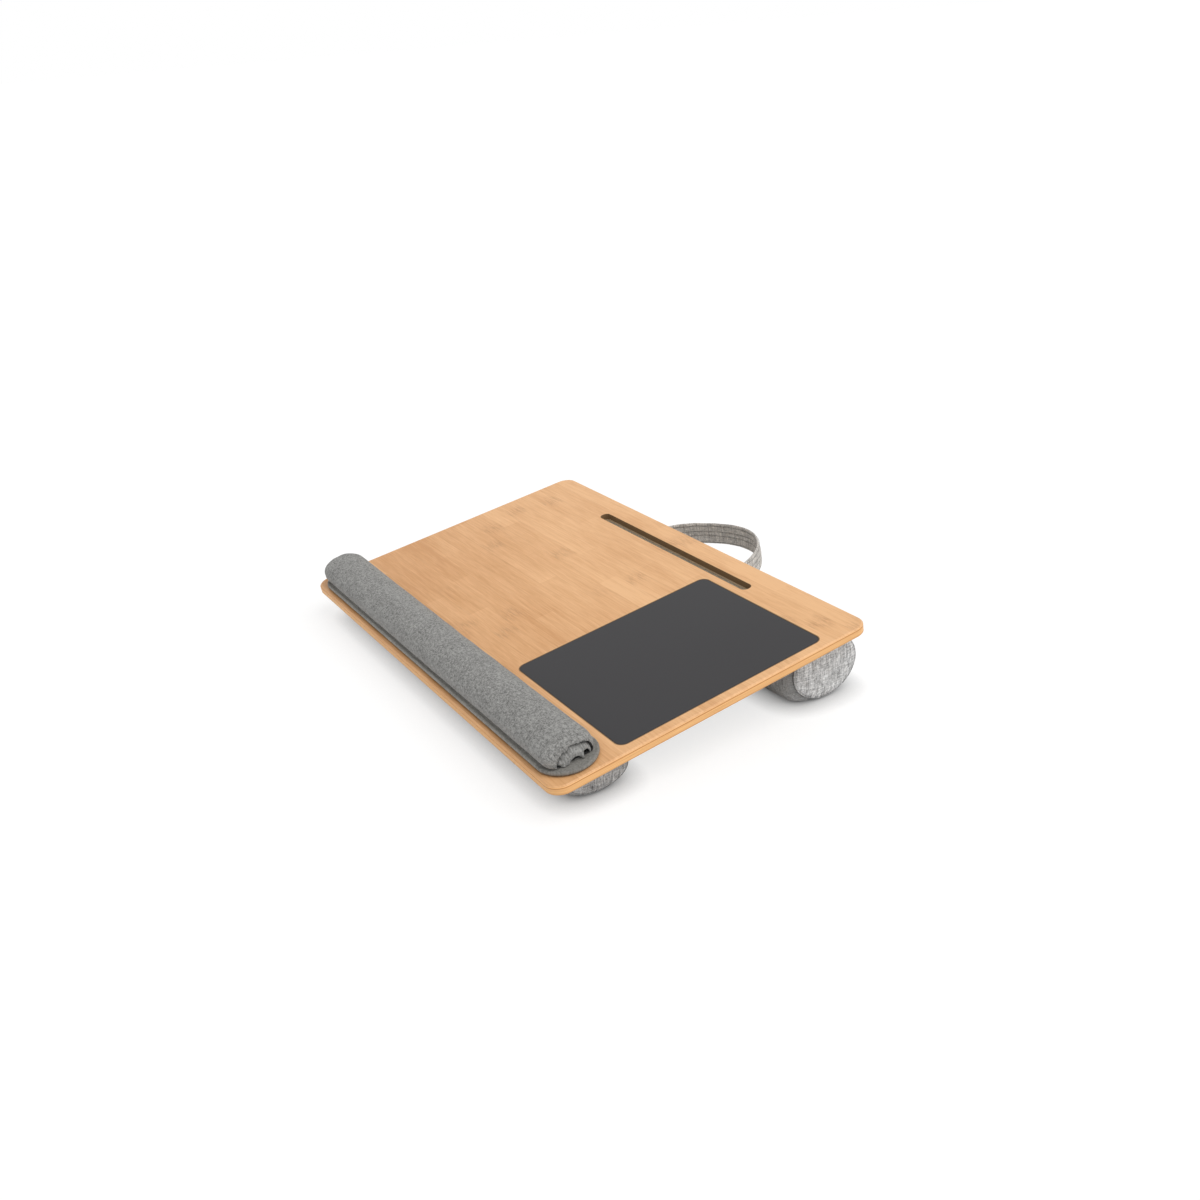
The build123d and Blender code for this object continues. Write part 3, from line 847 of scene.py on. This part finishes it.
def make_roll(material, lining):
    """The stuffed wrist roll: domed at the left, its hem turned in round a pleated end at the right."""
    oval_height = bpy.context.scene.lap_tray_shape.roll_oval
    low, high = board_box("wrist_roll_cover")
    centre_z = high.z - oval_height / 2
    oval = Oval((low.y + high.y) / 2, centre_z, (high.y - low.y) / 2, oval_height / 2,
                centre_z - low.z, 0.0, -1, fullness=3.2)
    turns = circle(120)
    dome, rounding = 19 * MM, 15 * MM
    end_steps, tube_steps, gathers = 16, 119, 31
    floor = low.z + RESTING_GAP
    start, end, last = low.x + dome, high.x - rounding, high.x - 1.5 * MM
    rings = []

    def full(x, turn):
        """A point of the stuffed tube, uneven where nothing presses on it."""
        upper = 0.55 + 0.45 * math.sin(turn)
        slack = (0.8 * MM * wander(x, turn, 2.0, 11) + 0.35 * MM * wander(x, turn * 2, 7.0, 42)) * upper
        p = oval.point(x, turn, slack)
        return Vector((x, p.y, max(p.z, floor)))

    def hem(turn):
        """A point of the hem, which lies low on the base and stands up in waves."""
        across = HEM_MIDDLE + HEM_HALF * math.cos(turn)
        rise = min(0.0, math.sin(turn)) + 1
        upper, lower = hem_height(across) + TOP_Z, floor + 0.4 * MM
        return Vector((0, oval.centre_y + across, lower + (upper - lower) * rise ** 6))

    for n in range(1, end_steps + 1):
        t = 1 - n / end_steps
        size = max(math.sqrt(max(0.0, 1 - t ** 2.3)) ** 0.9, 0.05)
        x = low.x + dome * (1 - t)
        middle = Vector((x, oval.centre_y, floor + (oval.centre_z - floor) * 0.85))
        rings.append([middle + (full(x, turn) - middle) * size for turn in turns])
    for n in range(1, tube_steps + 1):
        rings.append([full(start + (end - start) * n / tube_steps, turn) for turn in turns])
    for n in range(1, end_steps + 1):
        t = math.sin(n / end_steps * math.pi / 2)
        w = 1 - math.sqrt(max(0.0, 1 - t ** 2.4))
        ring = []
        for turn in turns:
            gathered = 0.45 * MM * math.sin(turn * gathers + 2 * wander(0, turn, 3.0, 1)) * w
            gathered = gathered if math.sin(turn) > -0.3 else 0.0
            a, b = full(end, turn), hem(turn)
            ring.append(Vector((end + (last - end) * t + gathered, a.y + (b.y - a.y) * w, a.z + (b.z - a.z) * w)))
        rings.append(ring)

    # The hem's turned-in edge, in mm back from the mouth and in towards its middle
    mouth = Vector((0, oval.centre_y + HEM_MIDDLE, TOP_Z + 10 * MM))
    turned_in = ((-0.2, 0.6), (1.0, 1.3), (3.0, 1.7), (7.0, 2.0))
    for back, draw in turned_in:
        ring = []
        for turn in turns:
            b = hem(turn)
            ring.append(b + Vector((last - back * MM, 0, 0)) + (mouth - b).normalized() * draw * MM)
        rings.append(ring)
    rings = [[from_board(*p) for p in ring] for ring in rings]
    roll = lofted("wrist_roll_cloth", rings, material)
    shade_mouth(roll, (len(rings) - len(turned_in)) * len(turns), lining)
    free = range(end_steps + 2, len(rings) - end_steps - 8)
    inflate(roll, [0.0 if r in free and math.sin(turn) > -0.45 else 1.0 for r in range(len(rings)) for turn in turns],
            pressure=2.5, cap=1.6 * MM, tension=15.0)
    seat(roll, "roll_cloth", "wrist_roll_cover", "wrist_roll_core")


def shade_mouth(roll, first_point, lining):
    """Give the turned-in rings and the cap behind them a near-black cloth, painted shade that stands for the dark
    inside of the roll's mouth.
    """
    roll.data.materials.append(lining)
    for face in roll.data.polygons:
        if min(face.vertices) >= first_point:
            face.material_index = 1


def make_plug(material):
    """The pleated end in the roll's mouth: ribbed, and drawn up below into arches with folds between."""
    low, high = board_box("wrist_roll_cover")
    centre_y = (low.y + high.y) / 2
    across_steps, down_steps = 110, 18
    seat_z = low.z + 0.4 * MM
    mouth_x, hem_x = high.x - 6.5 * MM, high.x + 0.6 * MM
    left, width, ribs = -14.4, 34.2, 2.5
    under_hem, least_drop, thick = 1.6 * MM, 1.5 * MM, 1.0 * MM
    # Middle, half width and height of each arch, and middle, half width and depth of each fold, in mm
    arches = ((2.0, 6.2, 4.4), (13.6, 3.6, 6.4), (-13.2, 1.6, 2.2))
    folds = ((9.0, 1.3, 1.6), (11.2, 1.0, -1.4), (-9.5, 1.2, 0.9))

    def lift(y):
        """How far the lower hem is drawn up."""
        total = 0.0
        for middle, half, height in arches:
            d = abs(y - middle) / half
            if d < 1:
                total = max(total, height * math.cos(d * math.pi / 2) ** 0.55)
        return total * MM

    def column(k, depth):
        """One column of the sheet from its top to its hem, at a depth behind its front."""
        y = left + width * k / across_steps
        top = hem_height(y * MM) + TOP_Z - under_hem
        hem = min(seat_z + lift(y), top - least_drop)
        fold = sum(out * MM * bell(y, middle, half) for middle, half, out in folds)
        edge = abs(2 * k / across_steps - 1) ** 6
        points = []
        for r in range(down_steps + 1):
            v = r / down_steps
            rib = 0.28 * MM * math.sin(y * ribs) * math.sin(math.pi * min(1, v * 1.2)) ** 0.5
            x = mouth_x + (hem_x - mouth_x) * v ** 0.8 + 2.6 * MM * math.sin(math.pi * v) + rib + fold * v * v - depth
            points.append(from_board(x - 4.5 * MM * edge, centre_y + y * MM, top + (hem - top) * v))
        return points

    rings, shades = [], []
    for k in range(across_steps + 1):
        rings.append(column(k, 0.0) + column(k, thick)[::-1])
        # Painted shade: darker between the ribs, along the sheet's side edges and under the hem at its top
        rib = 0.16 * (0.5 - 0.5 * math.sin((left + width * k / across_steps) * ribs))
        edge = 0.4 * max(0.0, 1 - min(k, across_steps - k) / 5)
        shade = [min(0.8, rib + edge + 0.45 * max(0.0, 1 - r / 4)) for r in range(down_steps + 1)]
        shades += shade + shade[::-1]
    plug = lofted("wrist_roll_end_cloth", rings, material)
    paint_shade(plug, shades)
    project_uv(plug, "yz")
    seat(plug, "roll_cloth", "wrist_roll_pleated_end")


# Underside

def make_backing(material):
    """The cloth stretched under the board, puckered a little between its staples."""
    low, high = board_box("cushion_backing_panel")
    across, along = 90, 56
    hem_depth, hem_rise = 11 * MM, 0.25 * MM
    points = []
    for face_z, puff in ((low.z, 1.0), (high.z, 0.0)):
        for r in range(along + 1):
            for n in range(across + 1):
                x = low.x + (high.x - low.x) * n / across
                y = low.y + (high.y - low.y) * r / along
                edge = min(x - low.x, high.x - x, y - low.y, high.y - y)
                hem = hem_rise if edge < hem_depth else 0.0
                ripple = 0.3 * MM * abs(uneven(x * 14, y * 14, 0)) * puff
                points.append(from_board(x, y, face_z + puff * (hem_rise - hem) + ripple))
    row = across + 1
    layer = row * (along + 1)
    faces = []
    for r in range(along):
        for n in range(across):
            a = r * row + n
            faces.append((a, a + row, a + row + 1, a + 1))
            faces.append((layer + a, layer + a + 1, layer + a + row + 1, layer + a + row))
    rim = ([(n, n + 1) for n in range(across)]
           + [(r * row + across, (r + 1) * row + across) for r in range(along)]
           + [(along * row + n + 1, along * row + n) for n in range(across)]
           + [((r + 1) * row, r * row) for r in range(along)])
    faces += [(a, b, layer + b, layer + a) for a, b in rim]
    piece = skin("backing_cloth", points, faces, material)
    point_outwards(piece.data)
    project_uv(piece, "xy")
    seat(piece, "backing_cloth", "cushion_backing_panel")


# Handle

def strap_places():
    """Points and outward directions along the strap, in the handle's own plane, root to root."""
    shape = bpy.context.scene.lap_tray_shape
    half_span, lean = shape.handle_span / 2, shape.handle_lean
    _, high = board_box("handle_strap")
    reach = high.y - HINGE_ON_BOARD.y - STRAP_HALF_THICK
    run, steps = 7 * MM, 110
    line = [(-half_span - run * lean, -run)]
    for n in range(steps + 1):
        a = math.pi - math.pi * n / steps
        y = reach * math.sin(a)
        draw = 6.5 * MM * math.sin(2 * a) if math.cos(a) > 0 else 0.0
        line.append((half_span * math.cos(a) + lean * y - draw, y))
    line.append((half_span - run * lean, -run))
    places = []
    for n, (x, y) in enumerate(line):
        before, after = line[max(n - 1, 0)], line[min(n + 1, len(line) - 1)]
        along_x, along_y = after[0] - before[0], after[1] - before[1]
        size = math.hypot(along_x, along_y)
        places.append((HINGE_AT.x + x, HINGE_ON_BOARD.y + y, -along_y / size, along_x / size))
    return places


def strap_half_width():
    """Half of the strap's width, across the board's normal."""
    low, high = board_box("handle_strap")
    return (high.z - low.z) / 2


def make_strap(material):
    """The folded and stitched strap from patch to patch, one cloth that bends at its sewn ends."""
    places = strap_places()
    half, rows = strap_half_width(), 56
    groove_depth, groove_width = 0.75 * MM, 0.05
    section = [(face, face * (1 - 2 * k / rows)) for face in (1, -1) for k in range(rows + 1)]
    fold_lines = ((-0.84, 1.0), (-0.22, 2.0), (0.18, 3.0), (0.72, 4.0))
    rings, shades = [], []
    for n, (x, y, out_x, out_y) in enumerate(places):
        share = n / (len(places) - 1)
        twist = 0.5 * MM * math.sin(share * math.pi * 5)
        folds = [line + 0.07 * uneven(share * 9, line * 7, seed) for line, seed in fold_lines]
        ring = []
        for face, t in section:
            rim = math.sqrt(max(0.0, 1 - abs(t) ** 7))
            groove = sum(bell(t, fold, groove_width) for fold in folds)
            # Painted shade: the cloth is drawn darker in its fold grooves
            shades.append(min(0.6, groove * (0.32 + 0.5 * abs(uneven(share * 14, t * 3, 5.0)))))
            ripple = 0.45 * MM * uneven(share * 22, half * t * 90, 2.0)
            bow = 0.9 * MM * t ** 2 * math.sin(share * math.pi)
            off = face * rim * (STRAP_HALF_THICK - groove_depth * groove) + ripple + twist * t - bow
            z = HINGE_ON_BOARD.z + half * t + 0.4 * MM * math.sin(share * 17)
            ring.append(from_board(x + out_x * off, y + out_y * off, z))
        rings.append(ring)
    strap = lofted("handle_strap_cloth", rings, material)
    paint_shade(strap, shades)
    bend_with_handle(strap)
    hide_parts("handle_strap", "handle_webbing", "handle_end_left", "handle_end_right")


def make_patches(material):
    """The strap's ends, turned flat and sewn on the back of the rear bolster."""
    shape = bpy.context.scene.lap_tray_shape
    oval = bolster_oval("rear_bolster", shape.rear_oval)
    hinge_turn = math.asin((HINGE_AT.z - oval.centre_z) / oval.half_height)
    length_steps, width_steps = 12, 16
    patch_length, half_turn = 24 * MM, 0.36
    for side, word in ((-1, "left"), (1, "right")):
        rings = []
        for n in range(length_steps + 1):
            share = n / length_steps
            x = HINGE_AT.x + side * (shape.handle_span / 2 + (share - 0.5) * patch_length)
            outer, inner = [], []
            for k in range(width_steps + 1):
                across = 2 * k / width_steps - 1
                rise = 1.5 * MM * (1 - abs(across) ** 8) * (1 - abs(2 * share - 1) ** 8) + 0.3 * MM
                outer.append(oval.point(x, hinge_turn + half_turn * across, rise))
                inner.append(oval.point(x, hinge_turn - half_turn * across, 0.05 * MM))
            rings.append(outer + inner)
        seat(lofted(f"handle_patch_{word}", rings, material), "strap_cloth")


# Stitches

def stitch_tree():
    """Geometry nodes: one thread bar for each step along a curve."""
    group = bpy.data.node_groups.new("stitch row", "GeometryNodeTree")
    for label, kind in (("Geometry", "Geometry"), ("Stitch", "Float"), ("Gap", "Float"), ("Thread", "Float"),
                        ("Material", "Material")):
        group.interface.new_socket(label, in_out="INPUT", socket_type="NodeSocket" + kind)
    group.interface.new_socket("Geometry", in_out="OUTPUT", socket_type="NodeSocketGeometry")
    tree = Tree(group)
    given = tree.node("NodeGroupInput").outputs
    spread = tree.node("GeometryNodeResampleCurve", {"mode": "LENGTH"}, {
        "Curve": given["Geometry"], "Length": Num(tree, given["Stitch"]) + Num(tree, given["Gap"])})
    bar = tree.node("GeometryNodeMeshUVSphere", {}, {"Segments": 8, "Rings": 5, "Radius": 0.5})
    size = tree.node("ShaderNodeCombineXYZ", {}, {"X": given["Stitch"], "Y": given["Thread"], "Z": given["Thread"]})
    tangent = tree.node("GeometryNodeInputTangent")
    align = tree.node("FunctionNodeAlignRotationToVector", {"axis": "X"}, {"Vector": tangent.outputs[0]})
    copies = tree.node("GeometryNodeInstanceOnPoints", {}, {
        "Points": spread.outputs["Curve"], "Instance": bar.outputs["Mesh"], "Rotation": align.outputs[0],
        "Scale": size.outputs[0]})
    real = tree.node("GeometryNodeRealizeInstances", {}, {"Geometry": copies.outputs[0]})
    coat = tree.node("GeometryNodeSetMaterial", {}, {"Geometry": real.outputs[0], "Material": given["Material"]})
    tree.node("NodeGroupOutput", {}, {"Geometry": coat.outputs[0]})
    return group


def strap_rows():
    """Two rows of stitches along each face of the strap, in its outer grooves."""
    half, lift, from_edge = strap_half_width(), 1.0 * MM, 0.82
    return [[from_board(x + out_x * face * lift, y + out_y * face * lift, HINGE_ON_BOARD.z + half * place)
             for x, y, out_x, out_y in strap_places()[2:-2]]
            for face in (1, -1) for place in (-from_edge, from_edge)]


def sew(name, rows, material):
    """Stitches along open rows of points, as one plain mesh."""
    shape = bpy.context.scene.lap_tray_shape
    line = bpy.data.curves.new(name + "_line", "CURVE")
    line.dimensions = "3D"
    for points in rows:
        spline = line.splines.new("POLY")
        spline.points.add(len(points) - 1)
        for place, p in zip(spline.points, points):
            place.co = (*p, 1.0)
    guide = add_piece(name + "_guide", line)
    tree = stitch_tree()
    modifier = guide.modifiers.new("stitches", "NODES")
    modifier.node_group = tree
    values = {"Stitch": shape.stitch, "Gap": shape.stitch_gap, "Thread": shape.thread, "Material": material}
    for item in tree.interface.items_tree:
        if item.in_out == "INPUT" and item.name in values:
            modifier[item.identifier] = values[item.name]
    made = bpy.data.meshes.new_from_object(guide.evaluated_get(bpy.context.evaluated_depsgraph_get()))
    bpy.data.objects.remove(guide)
    made.polygons.foreach_set("use_smooth", [True] * len(made.polygons))
    return add_piece(name, made)


# Stage

def make_floor():
    """A wide white floor that keeps the shadow; to the camera it also glows white, dimmed by ambient occlusion as
    painted contact shadow where a piece touches it.
    """
    mesh = bpy.data.meshes.new("floor")
    reach = 60.0
    mesh.from_pydata([(-reach, -reach, 0), (reach, -reach, 0), (reach, reach, 0), (-reach, reach, 0)], [],
                     [(0, 1, 2, 3)])
    paint = Paint("floor_white", Specular_IOR_Level=0.0, Roughness=1.0, Emission_Strength=0.72)
    seen = paint.number("ShaderNodeLightPath", "Is Camera Ray")
    # Painted shadow: the floor's glow to the camera is dimmed by ambient occlusion near each piece
    contact_shade = paint.number("ShaderNodeAmbientOcclusion", "AO", {"samples": 12}, {"Distance": 26 * MM})
    paint.finish(Base_Color=paint.dim(WHITE, 0.95 - seen * 0.61), Emission_Color=paint.dim(WHITE, contact_shade * seen))
    mesh.materials.append(paint.material)
    add_piece("floor", mesh)


def make_light(look):
    """Even light from all round, white to the camera and in mirrors, and a large soft lamp overhead."""
    scene = bpy.context.scene
    scene.world = bpy.data.worlds.new("studio")
    scene.world.use_nodes = True
    tree = Tree(scene.world.node_tree)
    path = tree.node("ShaderNodeLightPath").outputs
    seen, mirrored, through = (Num(tree, path[f"Is {ray} Ray"]) for ray in ("Camera", "Glossy", "Transmission"))
    soft = tree.node("ShaderNodeBackground", {}, {"Color": WHITE, "Strength": look.fill})
    white = tree.node("ShaderNodeBackground", {}, {"Color": WHITE, "Strength": 1.0})
    pick = tree.node("ShaderNodeMixShader", {}, {
        0: seen.math("MAXIMUM", mirrored).math("MAXIMUM", through), 1: soft.outputs[0], 2: white.outputs[0]})
    tree.node("ShaderNodeOutputWorld", {}, {"Surface": pick.outputs[0]})
    lamp = bpy.data.lights.new("key", "SUN")
    lamp.energy = look.key
    lamp.angle = look.spread
    lamp.color = (1.0, 0.99, 0.975)
    shines_along = Vector((-0.62, -0.30, -1.0))
    add_piece("key", lamp).rotation_euler = shines_along.to_track_quat("-Z", "Y").to_euler()


def make_camera(look):
    """The photograph's viewpoint, lens and lean."""
    camera = bpy.data.cameras.new("camera")
    camera.lens = look.lens
    camera.sensor_width = 36.0
    camera.clip_start = 0.01
    holder = add_piece("camera", camera)
    sight = Vector(look.aim) - Vector(look.camera)
    level = sight.to_track_quat("-Z", "Y").to_matrix()
    holder.matrix_world = (Matrix.Translation(look.camera)
                           @ (level @ Matrix.Rotation(look.roll, 3, "Z")).to_4x4())
    bpy.context.scene.camera = holder


# Operators

class LAPTRAY_OT_stage(bpy.types.Operator):
    """Set the floor, the soft light and the camera"""
    bl_idname = "laptray.stage"
    bl_label = "Stage"

    def execute(self, context):
        look = context.scene.lap_tray_stage
        context.scene.view_settings.view_transform = "Standard"
        make_floor()
        make_light(look)
        make_camera(look)
        return {"FINISHED"}


class LAPTRAY_OT_board(bpy.types.Operator):
    """Finish the three bamboo plies"""
    bl_idname = "laptray.board"
    bl_label = "Board"

    def execute(self, context):
        edge = tuple(context.scene.lap_tray_wood.edge)
        repaint("board_face_ply", bamboo("bamboo_face", edge, True))
        repaint("board_core", bamboo("bamboo_core", tuple(c * 1.04 for c in edge), False))
        repaint("board_back_ply", bamboo("bamboo_back", edge, False, False))
        return {"FINISHED"}


class LAPTRAY_OT_mouse_pad(bpy.types.Operator):
    """Finish the mouse pad and the glue under it"""
    bl_idname = "laptray.mouse_pad"
    bl_label = "Mouse pad"

    def execute(self, context):
        repaint("mouse_pad", coated_sheet("pad_sheet", tuple(context.scene.lap_tray_cloth.pad)))
        repaint("mouse_pad_glue", coated_sheet("pad_glue", (0.30, 0.26, 0.18)))
        return {"FINISHED"}


class LAPTRAY_OT_underside(bpy.types.Operator):
    """Stretch the backing cloth and finish its staples"""
    bl_idname = "laptray.underside"
    bl_label = "Underside"

    def execute(self, context):
        make_backing(paints()["backing"])
        repaint("panel_staples", wire_paint("staple_wire", (0.62, 0.62, 0.63)))
        return {"FINISHED"}


class LAPTRAY_OT_wrist_rest(bpy.types.Operator):
    """Make the wrist rest's base, roll and pleated end"""
    bl_idname = "laptray.wrist_rest"
    bl_label = "Wrist rest"

    def execute(self, context):
        cloths = paints()
        make_wrist_base(cloths["base"])
        make_roll(cloths["roll"], cloths["mouth"])
        make_plug(cloths["roll_end"])
        repaint("wrist_rest_tapes", coated_sheet("tape_foam", (0.03, 0.03, 0.03)))
        repaint("wrist_rest_base_board", coated_sheet("base_pressed_board", (0.30, 0.23, 0.16)))
        return {"FINISHED"}


class LAPTRAY_OT_bolsters(bpy.types.Operator):
    """Make both bolsters with their end panels and welts"""
    bl_idname = "laptray.bolsters"
    bl_label = "Bolsters"

    def execute(self, context):
        cloths = paints()
        shape = context.scene.lap_tray_shape
        make_bolster("rear_bolster", shape.rear_oval, cloths, 1.0)
        make_bolster("front_bolster", shape.front_oval, {**cloths, "end": cloths["front_end"]}, 6.0)
        return {"FINISHED"}


class LAPTRAY_OT_handle(bpy.types.Operator):
    """Make the strap and its sewn patches"""
    bl_idname = "laptray.handle"
    bl_label = "Handle"

    def execute(self, context):
        cloths = paints()
        make_strap(cloths["strap"])
        make_patches(cloths["strap"])
        return {"FINISHED"}


class LAPTRAY_OT_stitches(bpy.types.Operator):
    """Sew the rows of stitches on the strap"""
    bl_idname = "laptray.stitches"
    bl_label = "Stitches"

    def execute(self, context):
        bend_with_handle(sew("handle_stitches", strap_rows(), paints()["thread"]))
        return {"FINISHED"}


class LAPTRAY_PT_panel(bpy.types.Panel):
    """Lists the steps that dress the tray"""
    bl_label = "Lap tray"
    bl_idname = "LAPTRAY_PT_panel"
    bl_space_type = "VIEW_3D"
    bl_region_type = "UI"
    bl_category = "Lap tray"

    def draw(self, context):
        for step in STEPS:
            self.layout.operator(step.bl_idname)


STEPS = (LAPTRAY_OT_stage, LAPTRAY_OT_board, LAPTRAY_OT_mouse_pad, LAPTRAY_OT_underside, LAPTRAY_OT_wrist_rest,
         LAPTRAY_OT_bolsters, LAPTRAY_OT_handle, LAPTRAY_OT_stitches)
GROUPS = {"lap_tray_wood": LapTrayWood, "lap_tray_cloth": LapTrayCloth, "lap_tray_shape": LapTrayShape,
          "lap_tray_stage": LapTrayStage}


def register():
    for kind in (*GROUPS.values(), *STEPS, LAPTRAY_PT_panel):
        bpy.utils.register_class(kind)
    for name, kind in GROUPS.items():
        setattr(bpy.types.Scene, name, bpy.props.PointerProperty(type=kind))


def unregister():
    for name in GROUPS:
        delattr(bpy.types.Scene, name)
    for kind in reversed((*GROUPS.values(), *STEPS, LAPTRAY_PT_panel)):
        bpy.utils.unregister_class(kind)


def main():
    register()
    bpy.ops.laptray.stage()
    bpy.ops.laptray.board()
    bpy.ops.laptray.mouse_pad()
    bpy.ops.laptray.underside()
    bpy.ops.laptray.wrist_rest()
    bpy.ops.laptray.bolsters()
    bpy.ops.laptray.handle()
    bpy.ops.laptray.stitches()


if __name__ == "__main__":
    main()
